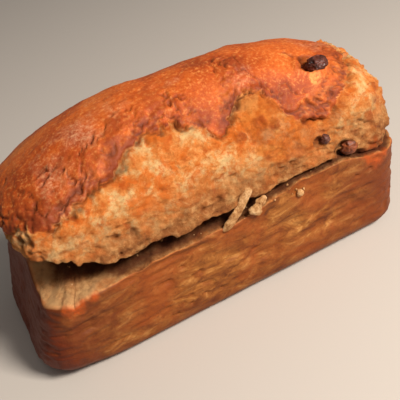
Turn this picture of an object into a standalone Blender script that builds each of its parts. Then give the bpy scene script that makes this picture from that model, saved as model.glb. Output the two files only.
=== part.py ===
"""Tin loaf: raisin bread baked in a loaf tin, with a risen cap that has burst open along one long side.

Run with: blender --background --python part.py
Metres, +Z up. The loaf stands on z = 0 with its length along X, and the burst runs along its -Y side.
"""

import math

import bmesh
import bpy
import numpy as np
from mathutils import Vector, noise

# The tin's form: flat base, flared walls, rounded corners.
BASE_LENGTH = 0.250
BASE_WIDTH = 0.109
FLARE_X = 0.046
FLARE_Y = 0.054
CORNER_TIGHT = 0.018
CORNER_LOOSE = 0.022
BASE_FILLET = 0.008
CORNER_FILLET = 0.009
RIM_HEIGHT = 0.0620

# The risen cap above the rim: a dome, squarer along its length than across it.
TOP_HEIGHT = 0.1318
CAP_INSET = 0.003
CAP_POWER_X = 3.0
CAP_POWER_Y = 2.2
CAP_LEAN_X = 0.018
CAP_LEAN_Y = -0.008
CAP_TILT = -0.055
SIDE_SHARE = 0.70

# The burst between wall and cap. It is a thin seam at the back, a narrow crack along the -Y side that
# closes towards +X, and a wide gape round the -X corner, where the cap has lifted off the wall.
SEAM_OPENING = 0.0016
SEAM_DEPTH = 0.0010
BURST_OPENING = 0.0080
BURST_DEPTH = 0.0120
CLOSED_OPENING = 0.0030
CLOSED_DEPTH = 0.0050
GAPE_LIP_HEIGHT = 0.0810
GAPE_DEPTH = 0.0280
GAPE_END_RISE = 0.0110
TORN_DROP = 0.0072
CORNER_DROP = 0.0038
END_DROP = 0.0080
LIP_BULGE = 0.0015
END_BULGE = 0.0045
END_TUCK = 0.0040
END_LEAN = 0.36

# Unevenness of the hand-shaped dough.
SWELL_SIZE = 0.045
SWELL_HEIGHT = 0.0016
KNOB_SIZE = 0.014
KNOB_HEIGHT = 0.0009

# Mesh lattice: cells along the length, across the width and up each stretch of the side.
CELLS_X = 36
CELLS_Y = 14
ROWS_FILLET = 3
ROWS_WALL = 7
ROWS_FLOOR = 4
ROWS_ROOF = 5
ROWS_CAP = 9

# Raisins: place, half sizes and turn about Z, seated in pockets with a hair of clearance.
FIT_GAP = 0.0003
RAISINS = {
    "raisin_top": ((0.0820, -0.0315, 0.1150), (0.0076, 0.0056, 0.0046), 15.0),
    "raisin_end": ((0.0830, -0.0535, 0.0690), (0.0060, 0.0050, 0.0052), 0.0),
    "raisin_lip": ((0.0680, -0.0530, 0.0800), (0.0034, 0.0030, 0.0030), 40.0),
}


def smooth(low, high, value):
    """0 below low, 1 above high and an S-curve between them."""
    share = np.clip((value - low) / (high - low), 0.0, 1.0)
    return share * share * (3.0 - 2.0 * share)


def ring_point(p, q, half_x, half_y, radius, oval):
    """Place on a rounded rectangle for a point (p, q) of the unit square's edge, eased towards an ellipse."""
    along_x = np.abs(q) >= np.abs(p)
    run = np.where(along_x, p, q)
    half = np.where(along_x, half_x, half_y)
    reach = np.where(along_x, half_y, half_x)
    straight = half - radius
    distance = np.abs(run) * (straight + radius * math.pi / 4)
    turn = np.clip((distance - straight) / radius, 0.0, math.pi / 4)
    along = np.sign(run) * (np.minimum(distance, straight) + radius * np.sin(turn))
    out = reach - radius * (1.0 - np.cos(turn))
    x = np.where(along_x, along, np.sign(p) * out)
    y = np.where(along_x, np.sign(q) * out, along)
    length = np.hypot(p, q)
    x += (half_x * p / length - x) * oval
    y += (half_y * q / length - y) * oval
    return x, y


def wall_half(height):
    """Half length and half width of the tin at a height."""
    return BASE_LENGTH / 2 + FLARE_X * height, BASE_WIDTH / 2 + FLARE_Y * height


def cap_half(rise):
    """Half length and half width of the cap where it has risen by a share of its height."""
    half_x, half_y = wall_half(RIM_HEIGHT)
    half_x = (half_x - CAP_INSET * smooth(0.0, 0.2, rise)) * np.sqrt(1.0 - rise**CAP_POWER_X)
    half_y = (half_y - CAP_INSET * smooth(0.0, 0.2, rise)) * np.sqrt(1.0 - rise**CAP_POWER_Y)
    return half_x, half_y


def corner_radius(p, rise, half_y):
    """Corner radius in plan: tighter at the -X end, and towards a half round end up the cap."""
    low = CORNER_TIGHT + (CORNER_LOOSE - CORNER_TIGHT) * smooth(-0.6, 0.6, p)
    return np.minimum(low + (half_y - low) * smooth(0.0, 0.9, rise), half_y)


def burst_shape(p, q):
    """Opening and depth of the burst and height of the rim at a place on the unit square's edge."""
    side = smooth(-0.2, -0.9, q)
    gape = smooth(-0.42, -0.82, p) * smooth(0.5, -0.15, q)
    closed = smooth(0.10, 0.40, p)
    end = smooth(0.5, 0.95, p) * smooth(0.9, 0.2, q)
    torn = np.maximum(side, end)
    rim = RIM_HEIGHT - side * (TORN_DROP * (1.0 - closed) + CORNER_DROP * gape)
    rim = rim - END_DROP * smooth(0.60, 0.92, p) * smooth(0.6, -0.6, q)
    opening = SEAM_OPENING + (BURST_OPENING + (CLOSED_OPENING - BURST_OPENING) * closed - SEAM_OPENING) * torn
    lip = GAPE_LIP_HEIGHT + GAPE_END_RISE * smooth(-1.0, -0.4, q)
    opening = opening + (lip - rim - opening) * gape
    depth = SEAM_DEPTH + (BURST_DEPTH + (CLOSED_DEPTH - BURST_DEPTH) * closed - SEAM_DEPTH) * torn
    depth = depth + (GAPE_DEPTH - depth) * gape
    return opening, depth, rim


def cap_bulge(p, q, rise):
    """How far the opened dough swells past the dome: low on the burst side, higher at the +X end."""
    low = LIP_BULGE * smooth(-0.2, -0.9, q) * smooth(1.0, 0.7, p) * smooth(0.55, 0.0, rise)
    end = smooth(0.5, 1.0, p)
    high = END_BULGE * end * smooth(0.15, 0.45, rise) * smooth(0.97, 0.65, rise)
    return low + high - END_TUCK * end * smooth(0.15, 0.0, rise)


def profile(rows, p, q):
    """Half sizes, corner radius, height and rise of the skin, for row numbers up the side."""
    opening, depth, rim = burst_shape(p, q)
    starts = np.cumsum([0, ROWS_FILLET, ROWS_WALL, ROWS_FLOOR, ROWS_ROOF, ROWS_CAP])
    share = [np.clip((rows - low) / (high - low), 0.0, 1.0) for low, high in zip(starts[:-1], starts[1:])]
    fillet, wall, floor, roof, cap = share
    stage = np.searchsorted(starts[1:], rows, side="left")

    turn = fillet * math.pi / 2
    foot = BASE_FILLET + CORNER_FILLET * smooth(-0.60, -1.0, p) * smooth(-0.3, -1.0, q)
    height = foot * (1.0 - np.cos(turn)) + wall * (rim - foot)
    height = np.where(stage == 2, rim + opening * 0.35 * floor, height)
    height = np.where(stage == 3, rim + opening * (0.35 + 0.65 * roof**0.7), height)
    rise_low = (rim + opening - RIM_HEIGHT) / (TOP_HEIGHT - RIM_HEIGHT)
    rise = np.clip(rise_low + (SIDE_SHARE - rise_low) * cap, 0.0, 1.0)
    height = np.where(stage == 4, RIM_HEIGHT + rise * (TOP_HEIGHT - RIM_HEIGHT), height)

    bulge = cap_bulge(p, q, rise)
    inset = foot * (1.0 - np.sin(turn)) * (stage == 0)
    inset = np.where(stage == 2, depth * floor, inset)
    inset = np.where(stage == 3, depth - (depth + bulge * 0.8) * roof, inset)
    inset = np.where(stage == 4, -bulge, inset)

    wall_x, wall_y = wall_half(np.minimum(height, rim))
    cap_x, cap_y = cap_half(rise)
    blend = np.where(stage == 4, 1.0, np.where(stage == 3, roof, 0.0))
    half_x = wall_x + (cap_x - wall_x) * blend - inset
    half_y = wall_y + (cap_y - wall_y) * blend - inset
    radius = corner_radius(p, rise * blend, half_y)
    return half_x, half_y, radius, height, rise * blend


def lean(x, y, height):
    """Shift of the dough off the tin's form: the cap rises to one end, and the -X end leans in under it."""
    rise = np.clip((height - RIM_HEIGHT) / (TOP_HEIGHT - RIM_HEIGHT), 0.0, 1.0)
    end = smooth(-0.075, -0.125, x) * smooth(0.105, RIM_HEIGHT, height)
    x = x + END_LEAN * np.minimum(height, RIM_HEIGHT) * end
    return x + CAP_LEAN_X * rise**1.5, y + CAP_LEAN_Y * rise**1.5, height + CAP_TILT * rise * x


def skin_point(p, q, rows):
    """Place on the loaf's skin for side rows, from a place (p, q) of the unit square's edge."""
    half_x, half_y, radius, height, rise = profile(rows, p, q)
    x, y = ring_point(p, q, half_x, half_y, radius, 0.6 * rise**2)
    return lean(x, y, height)


def top_point(p, q):
    """Place on the cap's top for a point (p, q) inside the unit square."""
    reach = np.maximum(np.maximum(np.abs(p), np.abs(q)), 1e-6)
    edge_reach = math.sqrt(1.0 - SIDE_SHARE**CAP_POWER_Y)
    rise = (1.0 - (edge_reach * reach) ** 2) ** (1.0 / CAP_POWER_Y)
    half_x, half_y = cap_half(rise)
    p_edge = np.where(reach > 1e-6, p / reach, 1.0)
    bulge = cap_bulge(p_edge, q / reach, rise)
    radius = corner_radius(p_edge, rise, half_y)
    x, y = ring_point(p_edge, q / reach, half_x + bulge, half_y + bulge, radius, 0.6 * rise**2)
    return lean(x, y, RIM_HEIGHT + rise * (TOP_HEIGHT - RIM_HEIGHT))


def lattice_box():
    """Box of 2 x 2 x 2 divided into the lattice's cells."""
    bm = bmesh.new()
    bmesh.ops.create_cube(bm, size=2.0)
    cells = (CELLS_X, CELLS_Y, ROWS_FILLET + ROWS_WALL + ROWS_FLOOR + ROWS_ROOF + ROWS_CAP)
    for axis, count in enumerate(cells):
        edges = [e for e in bm.edges if abs((e.verts[0].co - e.verts[1].co)[axis]) > 1.0]
        bmesh.ops.subdivide_edges(bm, edges=edges, cuts=count - 1, use_grid_fill=True)
    return bm


def shape_loaf(bm):
    """Moves the lattice box's corners onto the loaf's skin."""
    box = np.array([v.co[:] for v in bm.verts])
    rows_total = ROWS_FILLET + ROWS_WALL + ROWS_FLOOR + ROWS_ROOF + ROWS_CAP
    rows = (box[:, 2] + 1.0) / 2.0 * rows_total
    p, q = box[:, 0], box[:, 1]
    reach = np.maximum(np.maximum(np.abs(p), np.abs(q)), 1e-6)
    side = np.stack(skin_point(np.where(reach > 1e-6, p / reach, 1.0), q / reach, rows), axis=1)
    top = np.stack(top_point(p, q), axis=1)
    base = side * np.stack([reach, reach, np.ones_like(reach)], axis=1)
    points = np.where((box[:, 2] > 0.999)[:, None], top, base)
    for vert, point in zip(bm.verts, points):
        vert.co = point


def roughen(bm):
    """Pushes the skin in and out by smooth noise, and leaves the base flat."""
    bm.normal_update()
    moves = []
    for vert in bm.verts:
        ease = float(smooth(0.004, 0.020, vert.co.z))
        swell = noise.noise(vert.co / SWELL_SIZE) * SWELL_HEIGHT
        knob = noise.noise(vert.co / KNOB_SIZE + Vector((7.0, 3.0, 5.0))) * KNOB_HEIGHT
        moves.append(vert.normal * (swell + knob) * ease)
    for vert, move in zip(bm.verts, moves):
        vert.co += move


def centre(bm):
    """Puts the middle of the loaf's outline over the origin and its base on z = 0."""
    points = np.array([v.co[:] for v in bm.verts])
    middle = (points.max(axis=0) + points.min(axis=0)) / 2
    bmesh.ops.translate(bm, verts=bm.verts, vec=(-middle[0], -middle[1], -points[:, 2].min()))


def material(name, colour, roughness):
    """Principled material with a plain colour."""
    made = bpy.data.materials.new(name)
    made.use_nodes = True
    shader = made.node_tree.nodes["Principled BSDF"]
    shader.inputs["Base Color"].default_value = (*colour, 1.0)
    shader.inputs["Roughness"].default_value = roughness
    shader.inputs["Metallic"].default_value = 0.0
    made.diffuse_color = (*colour, 1.0)
    return made


def add_object(name, bm, collection, skin):
    """Object with the bmesh's shape, in a collection, with its material."""
    mesh = bpy.data.meshes.new(name)
    bm.to_mesh(mesh)
    bm.free()
    if skin:
        mesh.materials.append(skin)
    mesh.shade_smooth()
    made = bpy.data.objects.new(name, mesh)
    collection.objects.link(made)
    return made


def raisin_mesh(half_sizes, grow):
    """Wrinkled raisin: a squashed ball, larger by grow all round."""
    bm = bmesh.new()
    bmesh.ops.create_uvsphere(bm, u_segments=14, v_segments=9, radius=1.0)
    for vert in bm.verts:
        wrinkle = 1.0 + 0.10 * noise.noise(vert.co * 1.7)
        vert.co = Vector([vert.co[i] * (half_sizes[i] * wrinkle + grow) for i in range(3)])
    return bm


def place(made, spot, turn):
    """Sets an object's location and its turn about Z."""
    made.location = spot
    made.rotation_euler = (0.0, 0.0, math.radians(turn))


def add_raisins(loaf, collection, cutters, skin):
    """Raisins on the crust, each in a pocket of the loaf."""
    for name, (spot, half_sizes, turn) in RAISINS.items():
        place(add_object(name, raisin_mesh(half_sizes, 0.0), collection, skin), spot, turn)
        pocket = add_object(name + "_pocket", raisin_mesh(half_sizes, FIT_GAP), cutters, None)
        place(pocket, spot, turn)
        pocket.hide_render = True
        pocket.display_type = "WIRE"
        cut = loaf.modifiers.new(name, "BOOLEAN")
        cut.operation = "DIFFERENCE"
        cut.solver = "EXACT"
        cut.object = pocket


def new_collection(name):
    """Collection linked to the scene."""
    made = bpy.data.collections.new(name)
    bpy.context.scene.collection.children.link(made)
    return made


def main():
    for old in list(bpy.data.objects):
        bpy.data.objects.remove(old, do_unlink=True)
    collection = new_collection("tin_loaf")
    cutters = new_collection("cutters")
    bm = lattice_box()
    shape_loaf(bm)
    roughen(bm)
    centre(bm)
    crust = material("crust", (0.38, 0.115, 0.022), 0.7)
    loaf = add_object("loaf", bm, collection, crust)
    add_raisins(loaf, collection, cutters, material("raisin", (0.030, 0.010, 0.007), 0.35))


main()
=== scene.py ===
"""Looks of the tin loaf: crust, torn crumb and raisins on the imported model, with studio light and camera."""

import itertools
import math

import bmesh
import bpy
import numpy as np
from mathutils import Matrix, Vector
from mathutils.bvhtree import BVHTree


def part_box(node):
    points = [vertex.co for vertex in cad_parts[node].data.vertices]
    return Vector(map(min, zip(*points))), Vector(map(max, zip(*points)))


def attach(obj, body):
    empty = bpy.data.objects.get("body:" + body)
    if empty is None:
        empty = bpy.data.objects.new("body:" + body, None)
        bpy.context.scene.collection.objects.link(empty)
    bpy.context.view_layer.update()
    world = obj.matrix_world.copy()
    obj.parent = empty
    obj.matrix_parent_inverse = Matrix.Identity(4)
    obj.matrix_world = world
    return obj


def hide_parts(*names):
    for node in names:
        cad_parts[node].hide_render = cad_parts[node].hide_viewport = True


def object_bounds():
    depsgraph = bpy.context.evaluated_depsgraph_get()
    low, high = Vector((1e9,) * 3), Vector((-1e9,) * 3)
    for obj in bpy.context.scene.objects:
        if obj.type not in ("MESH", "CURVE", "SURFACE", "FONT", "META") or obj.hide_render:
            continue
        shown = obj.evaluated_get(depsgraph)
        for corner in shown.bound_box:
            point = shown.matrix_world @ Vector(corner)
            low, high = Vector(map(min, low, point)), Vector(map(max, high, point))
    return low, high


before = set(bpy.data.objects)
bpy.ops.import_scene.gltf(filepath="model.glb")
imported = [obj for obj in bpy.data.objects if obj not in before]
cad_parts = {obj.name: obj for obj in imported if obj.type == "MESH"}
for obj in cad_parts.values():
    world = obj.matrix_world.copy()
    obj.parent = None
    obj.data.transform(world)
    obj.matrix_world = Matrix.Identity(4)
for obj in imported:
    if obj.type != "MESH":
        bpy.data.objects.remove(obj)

CAD_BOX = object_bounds()

# The loaf's form, as the CAD part has it.
BASE_LENGTH = 0.250
BASE_WIDTH = 0.109
FLARE_X = 0.046
FLARE_Y = 0.054
CORNER_TIGHT = 0.018
CORNER_LOOSE = 0.022
BASE_FILLET = 0.008
CORNER_FILLET = 0.009
RIM_HEIGHT = 0.0620
TOP_HEIGHT = 0.1318
CAP_INSET = 0.003
CAP_POWER_X = 3.0
CAP_POWER_Y = 2.2
CAP_LEAN_X = 0.018
CAP_LEAN_Y = -0.008
CAP_TILT = -0.055
SIDE_SHARE = 0.70
SEAM_OPENING = 0.0016
SEAM_DEPTH = 0.0010
BURST_OPENING = 0.0080
BURST_DEPTH = 0.0120
CLOSED_OPENING = 0.0030
CLOSED_DEPTH = 0.0050
GAPE_LIP_HEIGHT = 0.0810
GAPE_DEPTH = 0.0280
GAPE_END_RISE = 0.0110
TORN_DROP = 0.0072
CORNER_DROP = 0.0038
END_DROP = 0.0080
LIP_BULGE = 0.0015
END_BULGE = 0.0045
END_TUCK = 0.0040
END_LEAN = 0.36

# Fine lattice: cells along the length, across the width and up each stretch of the side.
CELLS_X = 216
CELLS_Y = 88
ROWS_FILLET = 5
ROWS_WALL = 44
ROWS_FLOOR = 12
ROWS_ROOF = 12
ROWS_CAP = 46
ROW_STARTS = np.cumsum([0, ROWS_FILLET, ROWS_WALL, ROWS_FLOOR, ROWS_ROOF, ROWS_CAP])

# Lower edge of the torn skin on the burst side: place along the length and height, in metres.
TEAR_LINE = (
    (-0.122, 0.092), (-0.104, 0.093), (-0.086, 0.097), (-0.067, 0.104), (-0.052, 0.108), (-0.030, 0.117),
    (-0.012, 0.117), (0.003, 0.112), (0.013, 0.104), (0.020, 0.108), (0.030, 0.118), (0.036, 0.122),
    (0.044, 0.116), (0.053, 0.101), (0.066, 0.095), (0.080, 0.092), (0.090, 0.099), (0.108, 0.106),
    (0.130, 0.106),
)

# Lower edge of the darker, toasted stretch of crumb below the skin near the +X end.
TOAST_LINE = (
    (-0.140, 0.140), (0.022, 0.125), (0.030, 0.092), (0.040, 0.079), (0.050, 0.077), (0.066, 0.079),
    (0.080, 0.083), (0.092, 0.094), (0.100, 0.125), (0.140, 0.140),
)

# Red-brown and pale patches, as (place, radius).
RUSTY_PATCHES = (
    ((0.037, -0.047, 0.103), 0.0042), ((0.043, -0.048, 0.100), 0.0036), ((0.023, -0.050, 0.101), 0.0036),
    ((0.114, -0.045, 0.092), 0.0034), ((0.109, -0.049, 0.087), 0.0034), ((0.103, -0.053, 0.082), 0.0036),
    ((0.105, -0.057, 0.058), 0.0100), ((-0.094, -0.057, 0.052), 0.0070), ((-0.083, -0.057, 0.054), 0.0040),
)
PALE_PATCHES = (
    ((0.080, -0.040, 0.110), 0.0046), ((0.0735, -0.021, 0.121), 0.0030), ((0.036, -0.041, 0.114), 0.0060),
)
SLIT_ENDS = ((0.0745, -0.0185, 0.1215), (0.0815, -0.0285, 0.1170))


def smooth(low, high, value):
    """0 below low, 1 above high and an S-curve between them."""
    share = np.clip((value - low) / (high - low), 0.0, 1.0)
    return share * share * (3.0 - 2.0 * share)


def bell(value, width):
    """1 where value is 0, falling off smoothly over a width."""
    return np.exp(-((value / width) ** 2))


def value_noise(places, size, seed):
    """Smooth noise from -1 to 1 at an array of places, with features of a size in metres."""
    grid = places / np.asarray(size)
    cell = np.floor(grid).astype(np.int64)
    part = grid - cell
    part = part * part * (3.0 - 2.0 * part)
    total = np.zeros(len(places))
    for corner in itertools.product((0, 1), repeat=3):
        at = cell + corner
        mixed = (at[:, 0] * 73856093) ^ (at[:, 1] * 19349663) ^ (at[:, 2] * 83492791) ^ (seed * 2654435761)
        mixed &= 0xFFFFFFFF
        mixed = ((mixed ^ (mixed >> 13)) * 1274126177) & 0xFFFFFFFF
        mixed = ((mixed ^ (mixed >> 15)) * 668265263) & 0xFFFFFFFF
        mixed ^= mixed >> 16
        weight = np.prod(np.where(np.array(corner) == 1, part, 1.0 - part), axis=1)
        total += weight * mixed / 0xFFFFFFFF
    return total * 2.0 - 1.0


def layered_noise(places, size, seed, layers=3):
    """Several sizes of smooth noise on top of one another, from about -1 to 1."""
    total = np.zeros(len(places))
    for layer in range(layers):
        total += value_noise(places, np.asarray(size) * 0.5**layer, seed + layer) * 0.55**layer
    return total / 1.4


def ring_point(p, q, half_x, half_y, radius, oval):
    """Place on a rounded rectangle for a point (p, q) of the unit square's edge, eased towards an ellipse."""
    along_x = np.abs(q) >= np.abs(p)
    run = np.where(along_x, p, q)
    half = np.where(along_x, half_x, half_y)
    reach = np.where(along_x, half_y, half_x)
    straight = half - radius
    distance = np.abs(run) * (straight + radius * math.pi / 4)
    turn = np.clip((distance - straight) / radius, 0.0, math.pi / 4)
    along = np.sign(run) * (np.minimum(distance, straight) + radius * np.sin(turn))
    out = reach - radius * (1.0 - np.cos(turn))
    x = np.where(along_x, along, np.sign(p) * out)
    y = np.where(along_x, np.sign(q) * out, along)
    length = np.hypot(p, q)
    x += (half_x * p / length - x) * oval
    y += (half_y * q / length - y) * oval
    return x, y


def wall_half(height):
    """Half length and half width of the tin at a height."""
    return BASE_LENGTH / 2 + FLARE_X * height, BASE_WIDTH / 2 + FLARE_Y * height


def cap_half(rise):
    """Half length and half width of the cap where it has risen by a share of its height."""
    half_x, half_y = wall_half(RIM_HEIGHT)
    half_x = (half_x - CAP_INSET * smooth(0.0, 0.2, rise)) * np.sqrt(1.0 - rise**CAP_POWER_X)
    half_y = (half_y - CAP_INSET * smooth(0.0, 0.2, rise)) * np.sqrt(1.0 - rise**CAP_POWER_Y)
    return half_x, half_y


def corner_radius(p, rise, half_y):
    """Corner radius in plan: tighter at the -X end, and towards a half round end up the cap."""
    low = CORNER_TIGHT + (CORNER_LOOSE - CORNER_TIGHT) * smooth(-0.6, 0.6, p)
    return np.minimum(low + (half_y - low) * smooth(0.0, 0.9, rise), half_y)


def burst_shape(p, q):
    """Opening and depth of the burst and height of the rim, with ragged edges where the dough has torn."""
    side = smooth(-0.2, -0.9, q)
    gape = smooth(-0.42, -0.82, p) * smooth(0.5, -0.15, q)
    closed = smooth(0.10, 0.40, p)
    end = smooth(0.5, 0.95, p) * smooth(0.9, 0.2, q)
    torn = np.maximum(side, end)
    rim = RIM_HEIGHT - side * (TORN_DROP * (1.0 - closed) + CORNER_DROP * gape)
    rim = rim - END_DROP * smooth(0.60, 0.92, p) * smooth(0.6, -0.6, q)
    opening = SEAM_OPENING + (BURST_OPENING + (CLOSED_OPENING - BURST_OPENING) * closed - SEAM_OPENING) * torn
    lip = GAPE_LIP_HEIGHT + GAPE_END_RISE * smooth(-1.0, -0.4, q)
    opening = opening + (lip - rim - opening) * gape
    depth = SEAM_DEPTH + (BURST_DEPTH + (CLOSED_DEPTH - BURST_DEPTH) * closed - SEAM_DEPTH) * torn
    depth = depth + (GAPE_DEPTH - depth) * gape
    edge = np.stack([p * BASE_LENGTH / 2, q * BASE_WIDTH / 2, np.zeros_like(p)], axis=1)
    open_edge = np.maximum(torn, gape)
    rim = rim + open_edge * 0.0013 * layered_noise(edge, 0.009, 11)
    lift = 0.0034 - 0.0075 * gape + 0.0022 * layered_noise(edge, 0.012, 23)
    lift = lift + 0.0030 * gape * layered_noise(edge, 0.018, 29)
    opening = np.maximum(opening + open_edge * lift, 0.0012)
    return opening, depth, rim


def cap_bulge(p, q, rise):
    """How far the opened dough swells past the dome: low on the burst side, higher at the +X end."""
    low = LIP_BULGE * smooth(-0.2, -0.9, q) * smooth(1.0, 0.7, p) * smooth(0.55, 0.0, rise)
    end = smooth(0.5, 1.0, p)
    high = END_BULGE * end * smooth(0.15, 0.45, rise) * smooth(0.97, 0.65, rise)
    return low + high - END_TUCK * end * smooth(0.15, 0.0, rise)


def profile(rows, p, q):
    """Half sizes, corner radius, height, rise and stretch of the skin, for row numbers up the side."""
    opening, depth, rim = burst_shape(p, q)
    stretches = zip(ROW_STARTS[:-1], ROW_STARTS[1:])
    share = [np.clip((rows - low) / (high - low), 0.0, 1.0) for low, high in stretches]
    fillet, wall, floor, roof, cap = share
    stage = np.searchsorted(ROW_STARTS[1:], rows, side="left")

    turn = fillet * math.pi / 2
    foot = BASE_FILLET + CORNER_FILLET * smooth(-0.60, -1.0, p) * smooth(-0.3, -1.0, q)
    height = foot * (1.0 - np.cos(turn)) + wall * (rim - foot)
    height = np.where(stage == 2, rim + opening * 0.35 * floor, height)
    height = np.where(stage == 3, rim + opening * (0.35 + 0.65 * roof**0.7), height)
    rise_low = (rim + opening - RIM_HEIGHT) / (TOP_HEIGHT - RIM_HEIGHT)
    rise = np.clip(rise_low + (SIDE_SHARE - rise_low) * cap, 0.0, 1.0)
    height = np.where(stage == 4, RIM_HEIGHT + rise * (TOP_HEIGHT - RIM_HEIGHT), height)

    bulge = cap_bulge(p, q, rise)
    inset = foot * (1.0 - np.sin(turn)) * (stage == 0)
    inset = np.where(stage == 2, depth * floor, inset)
    inset = np.where(stage == 3, depth - (depth + bulge * 0.8) * roof, inset)
    inset = np.where(stage == 4, -bulge, inset)

    wall_x, wall_y = wall_half(np.minimum(height, rim))
    cap_x, cap_y = cap_half(rise)
    blend = np.where(stage == 4, 1.0, np.where(stage == 3, roof, 0.0))
    half_x = wall_x + (cap_x - wall_x) * blend - inset
    half_y = wall_y + (cap_y - wall_y) * blend - inset
    radius = corner_radius(p, rise * blend, half_y)
    inner = np.where(stage == 2, floor, np.where(stage == 3, 1.0 - roof, 0.0))
    return half_x, half_y, radius, height, rise * blend, stage, inner


def lean(x, y, height):
    """Shift of the dough off the tin's form: the cap rises to one end, and the -X end leans in under it."""
    rise = np.clip((height - RIM_HEIGHT) / (TOP_HEIGHT - RIM_HEIGHT), 0.0, 1.0)
    end = smooth(-0.075, -0.125, x) * smooth(0.105, RIM_HEIGHT, height)
    x = x + END_LEAN * np.minimum(height, RIM_HEIGHT) * end
    shift = rise**1.5
    return np.stack([x + CAP_LEAN_X * shift, y + CAP_LEAN_Y * shift, height + CAP_TILT * rise * x], axis=1)


def side_points(p, q, rows):
    """Places on the loaf's skin for side rows, the stretch of each, and how far into the burst it is."""
    half_x, half_y, radius, height, rise, stage, inner = profile(rows, p, q)
    x, y = ring_point(p, q, half_x, half_y, radius, 0.6 * rise**2)
    return lean(x, y, height), stage, inner


def top_points(p, q):
    """Places on the cap's top for points (p, q) inside the unit square."""
    reach = np.maximum(np.maximum(np.abs(p), np.abs(q)), 1e-6)
    edge_reach = math.sqrt(1.0 - SIDE_SHARE**CAP_POWER_Y)
    rise = (1.0 - (edge_reach * reach) ** 2) ** (1.0 / CAP_POWER_Y)
    half_x, half_y = cap_half(rise)
    p_edge = np.where(reach > 1e-6, p / reach, 1.0)
    bulge = cap_bulge(p_edge, q / reach, rise)
    radius = corner_radius(p_edge, rise, half_y)
    x, y = ring_point(p_edge, q / reach, half_x + bulge, half_y + bulge, radius, 0.6 * rise**2)
    return lean(x, y, RIM_HEIGHT + rise * (TOP_HEIGHT - RIM_HEIGHT))


def lattice_box():
    """Box of 2 x 2 x 2 divided into the lattice's cells."""
    bm = bmesh.new()
    bmesh.ops.create_cube(bm, size=2.0)
    for axis, count in enumerate((CELLS_X, CELLS_Y, int(ROW_STARTS[-1]))):
        edges = [e for e in bm.edges if abs((e.verts[0].co - e.verts[1].co)[axis]) > 1.0]
        bmesh.ops.subdivide_edges(bm, edges=edges, cuts=count - 1, use_grid_fill=True)
    return bm


def read_points(mesh, attribute="co"):
    """Corner places, or normals, of a mesh as an array."""
    source = mesh.vertices if attribute == "co" else mesh.vertex_normals
    values = np.empty(len(mesh.vertices) * 3)
    source.foreach_get("co" if attribute == "co" else "vector", values)
    return values.reshape(-1, 3)


def write_points(mesh, points):
    """Moves a mesh's corners to an array of places."""
    mesh.vertices.foreach_set("co", points.astype(np.float32).ravel())
    mesh.update()


def loaf_base(mesh):
    """Moves the lattice box's corners onto the loaf's skin. Returns each one's stretch and burst share."""
    box = read_points(mesh)
    rows = np.round((box[:, 2] + 1.0) / 2.0 * ROW_STARTS[-1])
    p, q = box[:, 0], box[:, 1]
    reach = np.maximum(np.maximum(np.abs(p), np.abs(q)), 1e-6)
    side, stage, inner = side_points(np.where(reach > 1e-6, p / reach, 1.0), q / reach, rows)
    side[:, :2] *= reach[:, None]
    on_top = box[:, 2] > 0.999
    write_points(mesh, np.where(on_top[:, None], top_points(p, q), side))
    return np.where(on_top, 4, stage), np.where(on_top, 0.0, inner)


def tear_height(points):
    """Height of the torn skin's lower edge over each place, below everything on the back."""
    along, height = np.array(TEAR_LINE).T
    line = np.interp(points[:, 0], along, height)
    jag = 0.0046 * layered_noise(points, 0.012, 41)
    jag += 0.0024 * (1.0 - 2.0 * np.abs(value_noise(points, 0.0042, 47)))
    across = points[:, 1] + 0.010 * layered_noise(points, 0.020, 43)
    return line + jag - 0.09 * smooth(0.004, 0.040, across)


def raisin_dents(points):
    """Hollows under the raisins with a raised ring of dough round each, and how near a raisin is."""
    dent = np.zeros(len(points))
    near = np.zeros(len(points))
    for name in ("raisin_top", "raisin_end", "raisin_lip"):
        low, high = (np.array(corner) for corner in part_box(name))
        distance = np.linalg.norm((points - (low + high) / 2) / ((high - low) / 2), axis=1)
        distance += 0.28 * value_noise(points, 0.0045, 33)
        size = float(np.mean(high - low)) / 2
        dent += size * (-0.62 * smooth(1.15, 0.80, distance) + 0.30 * bell(distance - 1.32, 0.22))
        near = np.maximum(near, smooth(1.45, 1.05, distance))
    return dent, near


def patches(points, places, seed):
    """Mask of ragged round patches at given places."""
    mask = np.zeros(len(points))
    for place, radius in places:
        distance = np.linalg.norm(points - np.array(place), axis=1) / radius
        mask = np.maximum(mask, smooth(1.15, 0.75, distance + 0.35 * layered_noise(points, 0.0045, seed)))
    return mask


def slit(points):
    """Mask of the slit that runs from the top raisin across the skin."""
    start, end = (np.array(place) for place in SLIT_ENDS)
    along = np.clip((points - start) @ (end - start) / ((end - start) @ (end - start)), 0.0, 1.0)
    bend = start + along[:, None] * (end - start)
    return bell(np.linalg.norm(points - bend, axis=1) + 0.0006 * value_noise(points, 0.004, 35), 0.0013)


def tear_relief(points, above, skin, front):
    """Relief of the skin along its torn edge (a lifted rim, flakes and wrinkles) and a mask of its cracks for
    painted shade.
    """
    near = bell(np.maximum(above, 0.0), 0.010) * front * skin
    wander = above + 0.0050 * layered_noise(points, (0.0110, 0.0085, 0.0085), 61)
    flakes = np.zeros(len(points))
    cracks = ((0.0022, 0.009), (0.0050, 0.011), (0.0085, 0.013), (0.0130, 0.016))
    for number, (offset, size) in enumerate(cracks):
        shown = smooth(-0.25 + 0.10 * number, 0.15 + 0.10 * number, value_noise(points, size, 67 + number))
        step = wander - offset
        flakes = np.maximum(flakes, np.where(step < 0.0, bell(step, 0.0005), bell(step, 0.0014)) * shown)
    flakes *= front * skin
    folds = 1.0 - 2.0 * np.abs(layered_noise(points, (0.010, 0.006, 0.004), 73, 3))
    rough = layered_noise(points, 0.0028, 77, 2)
    return near * (0.0016 + 0.0008 * folds + 0.0006 * rough) - 0.0016 * flakes, flakes


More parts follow.
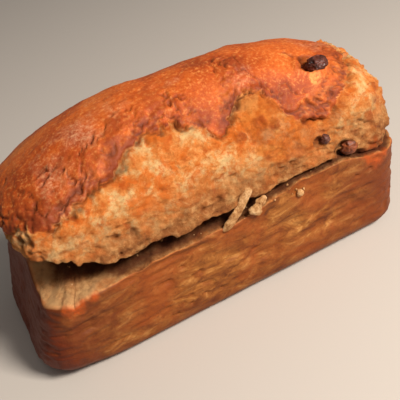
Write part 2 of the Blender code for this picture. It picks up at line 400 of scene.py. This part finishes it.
def crumb_relief(points, height):
    """Relief of the torn crumb: lumps, strands pulled sideways, and pits, rougher low down."""
    lumps = layered_noise(points, 0.024, 79, 2) * 0.0020
    clods = (1.0 - 2.0 * np.abs(layered_noise(points, (0.013, 0.010, 0.007), 89, 3))) * 0.0011
    strands = (1.0 - 2.0 * np.abs(layered_noise(points, (0.0060, 0.0045, 0.0028), 83, 3))) * 0.0011
    low = smooth(0.088, 0.064, height)
    grain = layered_noise(points, 0.0026, 91, 2) * (0.0007 + 0.0011 * low)
    torn = smooth(0.30, 0.75, layered_noise(points, (0.016, 0.010, 0.006), 95, 3)) * (0.4 + 0.6 * low)
    pits = smooth(0.78, 1.05, value_noise(points, 0.0050, 97) + 0.5 * value_noise(points, 0.015, 98))
    return lumps + clods + strands + grain - 0.0020 * torn - 0.0016 * pits, np.maximum(0.8 * torn, pits)


def wall_relief(points):
    """Relief of the side crust: long shallow wrinkles, shallow dents and small pores."""
    wrinkles = (1.0 - 2.0 * np.abs(layered_noise(points, (0.015, 0.015, 0.0046), 101, 3))) * 0.0008
    dents = smooth(0.15, 0.75, value_noise(points, (0.020, 0.020, 0.012), 109)) * 0.0014
    pores = smooth(0.50, 0.74, value_noise(points, (0.0050, 0.0050, 0.0028), 107))
    pores *= smooth(-0.3, 0.3, value_noise(points, 0.030, 108))
    return wrinkles - dents - 0.0011 * pores, pores


def relief(points, stage, inner):
    """Outward height of the fine relief at each place, and the masks that the material reads."""
    height = points[:, 2]
    wall = (stage <= 1).astype(float)
    cavity = ((stage == 2) | (stage == 3)).astype(float)
    cap = (stage == 4).astype(float)
    above = height - tear_height(points)
    skin = cap * smooth(-0.0006, 0.0006, above)
    crumb = np.maximum(cap * (1.0 - skin), cavity)
    front = smooth(0.010, -0.020, points[:, 1])

    torn, flakes = tear_relief(points, above, skin, front)
    crumb_move, pits = crumb_relief(points, height)
    wall_move, pores = wall_relief(points)
    leather = layered_noise(points, 0.0060, 127, 3) * 0.00035 + value_noise(points, 0.018, 131) * 0.0008
    patchy = smooth(-0.65, 0.0, value_noise(points, 0.011, 53))
    # Step under the torn skin's edge; in colour it also gives a painted shadow line there.
    under = cap * bell(above + 0.0010, 0.0015) * patchy * front
    dent, near = raisin_dents(points)
    cut = slit(points) * cap
    rusty = patches(points, RUSTY_PATCHES, 141)
    pale = patches(points, PALE_PATCHES, 149) * cap

    move = wall * wall_move + crumb * crumb_move * (1.0 - 0.65 * cavity)
    move += skin * (leather + torn) - 0.0024 * under + dent
    move += crumb * rusty * 0.0012 - 0.0018 * cut
    move += value_noise(points, 0.045, 113) * 0.0012
    move *= smooth(0.0012, 0.010, height)
    toast = skin * front * bell(np.maximum(above, 0.0), 0.013)
    along, level = np.array(TOAST_LINE).T
    baked = height - np.interp(points[:, 0], along, level) - 0.0045 * layered_noise(points, 0.012, 137)
    baked_edge = crumb * front * bell(baked - 0.0012, 0.0012)
    baked_edge = baked_edge * smooth(-0.2, 0.3, value_noise(points, 0.010, 139))
    # Painted shade in the skin's cracks, under the torn edge, in the slit and in the dents round the raisins;
    # the toasted crumb's lower edge is darkened too.
    crack_shade_and_toast_line = np.maximum(under * 0.85 + 0.8 * flakes, near * 0.6 * cap) + 0.5 * baked_edge + cut
    return move, {
        "crumb": crumb,
        "wall": wall,
        "crack_shade_and_toast_line": np.clip(crack_shade_and_toast_line, 0.0, 1.0),
        "rusty": rusty,
        "shelf": (stage == 2) * smooth(-0.060, -0.085, points[:, 0]) * smooth(0.60, 0.25, inner),
        "pale": pale * (1.0 - near),
        "baked": crumb * front * smooth(-0.0008, 0.0012, baked),
        "toast": toast,
        # pit: painted shade in the crumb's pits and torn hollows and in the crust's pores
        "pit_shade": crumb * pits + wall * pores * 0.8,
        # inner: painted shade, darker deeper inside the burst's cavity
        "inner": cavity * smooth(0.0, 0.45, inner - 0.32 * smooth(-0.060, -0.085, points[:, 0])),
    }


def store(mesh, name, values):
    """Keeps a number for each corner on the mesh, for the material to read."""
    layer = mesh.attributes.new(name, "FLOAT", "POINT")
    layer.data.foreach_set("value", values.astype(np.float32))


def fit_box(mesh, low, high):
    """Scales and moves a mesh, by a hair, onto the box of the CAD solid that it stands for."""
    points = read_points(mesh)
    own_low, own_high = points.min(axis=0), points.max(axis=0)
    write_points(mesh, (points - own_low) / (own_high - own_low) * (high - low) + low)


def flatten_base(mesh):
    """Merges the flat underside's cells into large faces."""
    bm = bmesh.new()
    bm.from_mesh(mesh)
    low = {v for v in bm.verts if v.co.z < 1e-5}
    under = [v for v in bm.verts if v in low and all(e.other_vert(v) in low for e in v.link_edges)]
    bmesh.ops.dissolve_verts(bm, verts=under)
    bmesh.ops.triangulate(bm, faces=[f for f in bm.faces if len(f.verts) > 4])
    bm.to_mesh(mesh)
    bm.free()


def add_object(name, mesh, skin):
    """Object in the scene with a mesh and a material, smoothly shaded."""
    mesh.materials.clear()
    mesh.materials.append(skin)
    mesh.shade_smooth()
    made = bpy.data.objects.new(name, mesh)
    bpy.context.scene.collection.objects.link(made)
    return made


def make_loaf():
    """The whole loaf as one fine skin, with masks for crust, crumb and cracks."""
    mesh = bpy.data.meshes.new("bread")
    bm = lattice_box()
    bm.to_mesh(mesh)
    bm.free()
    stage, inner = loaf_base(mesh)
    points = read_points(mesh)
    move, masks = relief(points, stage, inner)
    write_points(mesh, points + read_points(mesh, "normal") * move[:, None])
    low, high = (np.array(corner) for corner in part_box("loaf"))
    fit_box(mesh, low, high)
    for name, values in masks.items():
        store(mesh, name, values)
    flatten_base(mesh)
    loaf = add_object("bread", mesh, bread_material())
    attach(loaf, "root")
    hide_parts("loaf")


class Nodes:
    """Short hand for building a material's nodes."""

    def __init__(self, name):
        self.material = bpy.data.materials.new(name)
        self.material.use_nodes = True
        self.tree = self.material.node_tree
        self.shader = self.tree.nodes["Principled BSDF"]
        self.place = self.add("ShaderNodeTexCoord").outputs["Object"]
        separate = self.add("ShaderNodeSeparateXYZ")
        self.link(self.place, separate.inputs[0])
        self.along, self.height = separate.outputs["X"], separate.outputs["Z"]

    def add(self, kind, **settings):
        node = self.tree.nodes.new(kind)
        for key, value in settings.items():
            setattr(node, key, value)
        return node

    def link(self, source, target):
        self.tree.links.new(source, target)

    def mask(self, name):
        return self.add("ShaderNodeAttribute", attribute_name=name).outputs["Fac"]

    def noise(self, size, detail=4.0, rough=0.6, stretch=(1.0, 1.0, 1.0), warp=0.0):
        """Noise whose features have a size in metres."""
        mapping = self.add("ShaderNodeMapping")
        mapping.inputs["Scale"].default_value = stretch
        self.link(self.place, mapping.inputs["Vector"])
        node = self.add("ShaderNodeTexNoise")
        node.inputs["Scale"].default_value = 1.0 / size
        node.inputs["Detail"].default_value = detail
        node.inputs["Roughness"].default_value = rough
        node.inputs["Distortion"].default_value = warp
        self.link(mapping.outputs["Vector"], node.inputs["Vector"])
        return node.outputs["Fac"]

    def ramp(self, source, *stops):
        """Colour ramp with stops given as (place, colour)."""
        node = self.add("ShaderNodeValToRGB")
        while len(node.color_ramp.elements) < len(stops):
            node.color_ramp.elements.new(0.5)
        for element, (place, colour) in zip(node.color_ramp.elements, stops):
            element.position = place
            element.color = (*colour, 1.0)
        self.link(source, node.inputs["Fac"])
        return node.outputs["Color"]

    def span(self, source, low, high, out_low=0.0, out_high=1.0):
        """Maps a range of a value onto another range, clamped."""
        node = self.add("ShaderNodeMapRange")
        for key, value in zip(("From Min", "From Max", "To Min", "To Max"), (low, high, out_low, out_high)):
            node.inputs[key].default_value = value
        self.link(source, node.inputs["Value"])
        return node.outputs["Result"]

    def math(self, operation, first, second):
        node = self.add("ShaderNodeMath", operation=operation)
        for socket, value in zip(node.inputs, (first, second)):
            if isinstance(value, float):
                socket.default_value = value
            else:
                self.link(value, socket)
        return node.outputs["Value"]

    def mix(self, share, first, second, blend="MIX"):
        """Colour mix of two colours by a share."""
        node = self.add("ShaderNodeMix", data_type="RGBA", blend_type=blend)
        for socket, value in ((node.inputs[0], share), (node.inputs[6], first), (node.inputs[7], second)):
            if isinstance(value, float):
                socket.default_value = value
            elif isinstance(value, tuple):
                socket.default_value = (*value, 1.0)
            else:
                self.link(value, socket)
        return node.outputs[2]

    def bump(self, height, distance, strength=1.0, normal=None):
        """Bump of a height in metres."""
        node = self.add("ShaderNodeBump")
        node.inputs["Distance"].default_value = distance
        node.inputs["Strength"].default_value = strength
        self.link(height, node.inputs["Height"])
        if normal:
            self.link(normal, node.inputs["Normal"])
        return node.outputs["Normal"]


def srgb(red, green, blue):
    """Linear colour from the usual 0 to 255 values."""
    parts = (c / 255 for c in (red, green, blue))
    return tuple(((c + 0.055) / 1.055) ** 2.4 if c > 10 / 255 else c / 12.92 for c in parts)


def skin_colour(n):
    """Leathery brown top: warm red-brown, darker in blotches and by the tear, with a fine light speckle."""
    blotch = n.noise(0.030, 5.0, 0.62, warp=0.4)
    tone = n.ramp(
        blotch,
        (0.32, srgb(146, 56, 12)), (0.44, srgb(180, 76, 20)),
        (0.58, srgb(200, 94, 30)), (0.72, srgb(212, 114, 46)),
    )
    fine = n.noise(0.0020, 3.0, 0.75)
    tone = n.mix(n.span(fine, 0.52, 0.68, 0.0, 0.60), tone, srgb(232, 150, 78))
    tone = n.mix(n.span(fine, 0.46, 0.28, 0.0, 0.55), tone, srgb(138, 50, 14))
    flour = n.math("MULTIPLY", n.span(n.noise(0.040, 4.0), 0.56, 0.70, 0.0, 0.45), n.span(fine, 0.36, 0.60))
    tone = n.mix(flour, tone, srgb(218, 166, 130))
    near_tear = n.math("MULTIPLY", n.mask("toast"), n.span(n.noise(0.012, 4.0), 0.36, 0.56))
    return n.mix(n.math("MULTIPLY", near_tear, 0.85), tone, srgb(118, 44, 16))


def crumb_colour(n):
    """Torn crumb: cream and gold with orange mottling above, beige and brown where it is low."""
    cream = n.ramp(
        n.noise(0.010, 6.0, 0.7),
        (0.36, srgb(226, 116, 42)), (0.48, srgb(248, 158, 80)), (0.60, srgb(255, 208, 142)),
    )
    mottle = n.span(n.noise(0.017, 6.0, 0.75, warp=0.7), 0.48, 0.57)
    tone = n.mix(n.math("MULTIPLY", mottle, 0.80), cream, srgb(240, 118, 30))
    spots = n.span(n.noise(0.0065, 3.0, 0.6), 0.60, 0.70, 0.0, 0.75)
    tone = n.mix(spots, tone, srgb(222, 96, 26))
    ragged = n.span(n.noise(0.020, 4.0), 0.30, 0.50, 0.50, 1.0)
    low = n.math("MULTIPLY", n.span(n.height, 0.096, 0.072), ragged)
    beige = n.ramp(
        n.noise(0.007, 6.0, 0.7),
        (0.34, srgb(126, 66, 30)), (0.50, srgb(182, 116, 62)), (0.66, srgb(226, 168, 106)),
    )
    tone = n.mix(low, tone, beige)
    toasted = n.ramp(
        n.noise(0.008, 5.0, 0.7),
        (0.34, srgb(176, 72, 16)), (0.54, srgb(222, 116, 36)), (0.70, srgb(244, 158, 72)),
    )
    tone = n.mix(n.math("MULTIPLY", n.mask("baked"), 0.70), tone, toasted)
    fine = n.noise(0.0014, 3.0, 0.75)
    return n.mix(n.span(fine, 0.44, 0.30, 0.0, 0.45), tone, srgb(176, 88, 30))


def wall_colour(n):
    """Side crust that lay against the tin: golden brown, streaked, darker towards the ends and corners; the -X
    end face darker still, partly painted shade.
    """
    streak = n.noise(0.0075, 6.0, 0.72, stretch=(0.42, 0.42, 1.0), warp=0.8)
    tone = n.ramp(
        streak,
        (0.32, srgb(84, 36, 8)), (0.44, srgb(126, 68, 22)),
        (0.55, srgb(156, 94, 38)), (0.67, srgb(196, 136, 72)),
    )
    patch = n.span(n.noise(0.034, 4.0, 0.6, warp=0.5), 0.46, 0.62, 0.0, 0.75)
    tone = n.mix(patch, tone, srgb(142, 66, 18))
    fine = n.noise(0.0018, 3.0, 0.75)
    tone = n.mix(n.span(fine, 0.46, 0.28, 0.0, 0.6), tone, srgb(96, 42, 10))
    foot = n.span(n.height, 0.020, 0.002, 0.0, 0.8)
    ends = n.math("MAXIMUM", n.span(n.along, -0.055, -0.100), n.span(n.along, 0.060, 0.105))
    corner = n.math("MAXIMUM", ends, foot)
    blotched = n.span(n.noise(0.026, 4.0), 0.30, 0.60, 0.55, 0.95)
    tone = n.mix(n.math("MULTIPLY", corner, blotched), tone, srgb(102, 42, 10))
    # The -X end face darkest: partly a browner bake, partly painted shade of the end turned away from the key
    # light.
    return n.mix(n.math("MULTIPLY", n.span(n.along, -0.104, -0.112), 0.85), tone, srgb(100, 36, 10))


def bread_material():
    """Material of the whole loaf, blended by the masks on its mesh."""
    n = Nodes("bread")
    crumb = n.mask("crumb")
    tone = n.mix(crumb, n.mix(n.mask("wall"), skin_colour(n), wall_colour(n)), crumb_colour(n))
    rust = n.math("MULTIPLY", n.mask("rusty"), n.span(n.noise(0.005, 5.0, 0.7), 0.38, 0.56, 0.25, 0.85))
    tone = n.mix(rust, tone, srgb(176, 74, 18))
    pale = n.math("MULTIPLY", n.mask("pale"), n.span(n.noise(0.004, 5.0, 0.7), 0.40, 0.54, 0.10, 0.65))
    tone = n.mix(pale, tone, srgb(238, 160, 84))
    # Painted shade: the crumb darkens deeper inside the burst's cavity, under the overhanging cap.
    tone = n.mix(n.math("MULTIPLY", n.mask("inner"), 0.85), tone, srgb(84, 38, 14))
    ledge = n.math("MULTIPLY", n.mask("shelf"), n.span(n.noise(0.006, 5.0, 0.7), 0.36, 0.56, 0.2, 0.8))
    tone = n.mix(ledge, tone, srgb(236, 184, 124))
    # Painted shade: darker in the crumb's pits and torn hollows and in the crust's pores.
    tone = n.mix(n.math("MULTIPLY", n.mask("pit_shade"), 0.50), tone, srgb(140, 70, 26))
    # Painted shade in cracks, under the torn skin edge, in the slit and round the raisins; darker line at the
    # toasted crumb's edge.
    tone = n.mix(n.math("MULTIPLY", n.mask("crack_shade_and_toast_line"), 0.85), tone, srgb(74, 26, 8))
    n.link(tone, n.shader.inputs["Base Color"])
    n.link(n.span(crumb, 0.0, 1.0, 0.55, 0.92), n.shader.inputs["Roughness"])
    crust_bump = n.bump(n.noise(0.0014, 4.0, 0.7), 0.0009, 0.5)
    crumb_bump = n.bump(n.noise(0.0022, 7.0, 0.8, stretch=(0.6, 0.8, 1.0)), 0.0034, 1.0)
    normal = n.add("ShaderNodeMix", data_type="VECTOR")
    n.link(crumb, normal.inputs[0])
    n.link(crust_bump, normal.inputs[4])
    n.link(crumb_bump, normal.inputs[5])
    n.link(normal.outputs[1], n.shader.inputs["Normal"])
    n.shader.inputs["Specular IOR Level"].default_value = 0.25
    return n.material


def raisin_material(name, dark, light):
    """Wrinkled raisin skin, glossy in some patches and duller in others."""
    n = Nodes(name)
    tone = n.ramp(n.noise(0.004, 4.0, 0.6), (0.35, dark), (0.70, light))
    n.link(tone, n.shader.inputs["Base Color"])
    n.link(n.span(n.noise(0.003, 3.0), 0.35, 0.65, 0.32, 0.62), n.shader.inputs["Roughness"])
    n.link(n.bump(n.noise(0.0016, 4.0, 0.6), 0.0008, 0.6), n.shader.inputs["Normal"])
    return n.material


def make_raisin(name, dark, light):
    """Raisin with deep soft wrinkles, in the box of its CAD solid."""
    bm = bmesh.new()
    bmesh.ops.create_icosphere(bm, subdivisions=5, radius=1.0)
    mesh = bpy.data.meshes.new(name + "_skin")
    bm.to_mesh(mesh)
    bm.free()
    points = read_points(mesh)
    folds = 1.0 - np.abs(layered_noise(points + 3.0, 0.75, 7, 3)) * 2.6
    points *= (1.0 + 0.22 * folds + 0.03 * value_noise(points, 0.2, 5))[:, None]
    write_points(mesh, points)
    low, high = (np.array(corner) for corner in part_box(name))
    fit_box(mesh, low, high)
    made = add_object(name + "_skin", mesh, raisin_material(name + "_skin", dark, light))
    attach(made, "root")
    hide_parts(name)


def crumb_material():
    """Pale dry dough of the loose pieces."""
    n = Nodes("dough_flake")
    tone = n.ramp(
        n.noise(0.004, 5.0, 0.7),
        (0.36, srgb(150, 96, 52)), (0.50, srgb(196, 144, 92)), (0.64, srgb(228, 184, 134)),
    )
    n.link(tone, n.shader.inputs["Base Color"])
    n.link(n.bump(n.noise(0.0016, 5.0, 0.75), 0.0014, 0.9), n.shader.inputs["Normal"])
    n.shader.inputs["Roughness"].default_value = 0.9
    n.shader.inputs["Specular IOR Level"].default_value = 0.2
    return n.material


def bread_surface():
    """Search tree over the bread's skin."""
    mesh = bpy.data.objects["bread"].data
    return BVHTree.FromPolygons([v.co for v in mesh.vertices], [p.vertices[:] for p in mesh.polygons])


def on_front(surface, x, z):
    """Place and outward direction of the bread's skin as met from the -Y side."""
    place, normal, _, _ = surface.ray_cast(Vector((x, -0.1, z)), Vector((0.0, 1.0, 0.0)))
    return place, normal


def keep_inside(bm):
    """Presses what stands out past the CAD's box on the burst side softly back inside it."""
    limit = CAD_BOX[0][1]
    room = 0.0018
    for vertex in bm.verts:
        beyond = limit + room - vertex.co.y
        if beyond > 0.0:
            vertex.co.y = limit + room * math.exp(-beyond / room)


def add_loose(name, bm, skin):
    """Loose dough on the loaf: moves with it and takes the material it is given."""
    keep_inside(bm)
    mesh = bpy.data.meshes.new(name)
    bm.to_mesh(mesh)
    bm.free()
    made = add_object(name, mesh, skin)
    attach(made, "root")


def dough_piece(surface, name, top, bottom, half_width, half_thick, roughness, skin):
    """Flat torn strip of dough lying on the skin from one place to another, given as (x, z)."""
    bm = bmesh.new()
    bmesh.ops.create_cube(bm, size=2.0)
    for axis, count in enumerate((34, 14, 6)):
        edges = [e for e in bm.edges if abs((e.verts[0].co - e.verts[1].co)[axis]) > 1.0]
        bmesh.ops.subdivide_edges(bm, edges=edges, cuts=count - 1, use_grid_fill=True)
    start, end = (on_front(surface, *spot)[0] for spot in (top, bottom))
    along = (end - start).normalized()
    out = Vector((0.0, -1.0, 0.25)).normalized()
    across = along.cross(out).normalized()
    box = np.array([v.co[:] for v in bm.verts])
    share = (box[:, 0] + 1.0) / 2.0
    wide = box[:, 1] * np.sqrt(1.0 - box[:, 2] ** 2 / 2.0)
    thick = box[:, 2] * np.sqrt(1.0 - box[:, 1] ** 2 / 2.0)
    grow = np.sqrt(np.clip(1.0 - (2.0 * share - 1.0) ** 4, 0.02, 1.0))
    grow *= 1.0 + 0.22 * layered_noise(np.stack([share, share * 0, share * 0], axis=1), 0.22, len(name))
    base = np.array(start) + share[:, None] * np.array(end - start)
    base -= np.array((0.0, 1.0, 0.0)) * (half_thick * 0.6 + 0.0012 * np.sin(math.pi * share))[:, None]
    places = base + np.array(across) * (wide * grow * half_width)[:, None]
    places += np.array(out) * (thick * grow * half_thick)[:, None]
    places += roughness * np.stack([layered_noise(places, 0.0042, seed) for seed in (3, 4, 5)], axis=1)
    for vertex, place in zip(bm.verts, places):
        vertex.co = place
    add_loose(name, bm, skin)


def make_crumbs(surface, skin):
    """Loose crumbs along the burst's lip and on the opened shelf, and one large round crumb."""
    chance = np.random.default_rng(5)
    bm = bmesh.new()
    spots = [(0.0455, 0.0545, 0.0021), (0.0485, 0.0560, 0.0009)]
    spots += [(x, 0.054 + 0.010 * lift, size) for x, lift, size in zip(
        chance.uniform(-0.100, 0.060, 40), chance.uniform(0.0, 1.0, 40), chance.uniform(0.0003, 0.0007, 40))]
    for x, z, size in spots:
        place, normal = on_front(surface, x, z)
        if place is None:
            continue
        made = bmesh.ops.create_icosphere(bm, subdivisions=2, radius=1.0)["verts"]
        stretch = size * chance.uniform(0.75, 1.25, 3)
        for vertex in made:
            bump = 1.0 + 0.22 * float(value_noise(np.array([vertex.co[:]]) + x * 900.0, 0.7, 9)[0])
            vertex.co = place + normal * size * 0.4 + Vector(np.array(vertex.co) * stretch * bump)
    add_loose("crumbs", bm, skin)


def make_loose_dough():
    """Everything that lies loose on the burst."""
    surface = bread_surface()
    skin = crumb_material()
    dough_piece(surface, "dough_strip", (0.0150, 0.0745), (-0.0055, 0.0535), 0.0028, 0.0013, 0.0007, skin)
    dough_piece(surface, "dough_flake", (0.0215, 0.0665), (0.0130, 0.0560), 0.0032, 0.0016, 0.0016, skin)
    make_crumbs(surface, skin)


def floor_material():
    """Plain pale floor."""
    n = Nodes("floor")
    n.shader.inputs["Base Color"].default_value = (*srgb(196, 186, 176), 1.0)
    n.shader.inputs["Roughness"].default_value = 0.85
    return n.material


def make_floor():
    """Plain floor under the loaf."""
    bm = bmesh.new()
    bmesh.ops.create_grid(bm, x_segments=1, y_segments=1, size=3.0)
    mesh = bpy.data.meshes.new("floor")
    bm.to_mesh(mesh)
    bm.free()
    add_object("floor", mesh, floor_material())


def add_light(name, place, size, power, colour):
    """Soft square light that faces the loaf."""
    lamp = bpy.data.lights.new(name, "AREA")
    lamp.shape = "SQUARE"
    lamp.size = size
    lamp.energy = power
    lamp.color = colour
    made = bpy.data.objects.new(name, lamp)
    made.location = place
    aim = Vector((0.0, 0.0, 0.06)) - Vector(place)
    made.rotation_euler = aim.to_track_quat("-Z", "Y").to_euler()
    bpy.context.scene.collection.objects.link(made)


def make_studio():
    """Soft key light high at the right of the burst side, a weak fill and pale surroundings."""
    add_light("key", (0.45, -0.72, 0.84), 0.32, 20.5, (1.0, 0.95, 0.88))
    add_light("fill", (0.2, -0.6, 1.0), 0.9, 1.0, (1.0, 0.97, 0.94))
    world = bpy.data.worlds.new("studio")
    world.use_nodes = True
    world.node_tree.nodes["Background"].inputs["Color"].default_value = (1.0, 0.97, 0.94, 1.0)
    world.node_tree.nodes["Background"].inputs["Strength"].default_value = 0.19
    bpy.context.scene.world = world
    bpy.context.scene.view_settings.view_transform = "Standard"


def make_camera():
    """Camera above the -X end of the burst side, held with a tilt."""
    azimuth, elevation, roll = (math.radians(angle) for angle in (-18.2, 34.2, -14.7))
    distance = 0.439
    flat = math.cos(elevation)
    back = Vector((math.sin(azimuth) * flat, -math.cos(azimuth) * flat, math.sin(elevation)))
    level = Vector((math.cos(azimuth), math.sin(azimuth), 0.0))
    upright = back.cross(level)
    right = level * math.cos(roll) + upright * math.sin(roll)
    up = upright * math.cos(roll) - level * math.sin(roll)
    aim = Vector((0.0, 0.0, 0.05)) + right * 0.0054 - up * 0.0060
    turn = Matrix((right, up, back)).transposed().to_4x4()
    camera = bpy.data.objects.new("camera", bpy.data.cameras.new("camera"))
    camera.matrix_world = Matrix.Translation(aim + back * distance) @ turn
    camera.data.sensor_width = 36.0
    camera.data.lens = 63.0
    camera.data.clip_start = 0.01
    bpy.context.scene.collection.objects.link(camera)
    bpy.context.scene.camera = camera


make_loaf()
make_raisin("raisin_top", srgb(44, 16, 8), srgb(104, 42, 22))
make_raisin("raisin_end", srgb(78, 30, 8), srgb(146, 70, 26))
make_raisin("raisin_lip", srgb(60, 26, 16), srgb(112, 56, 34))
make_loose_dough()
make_floor()
make_studio()
make_camera()
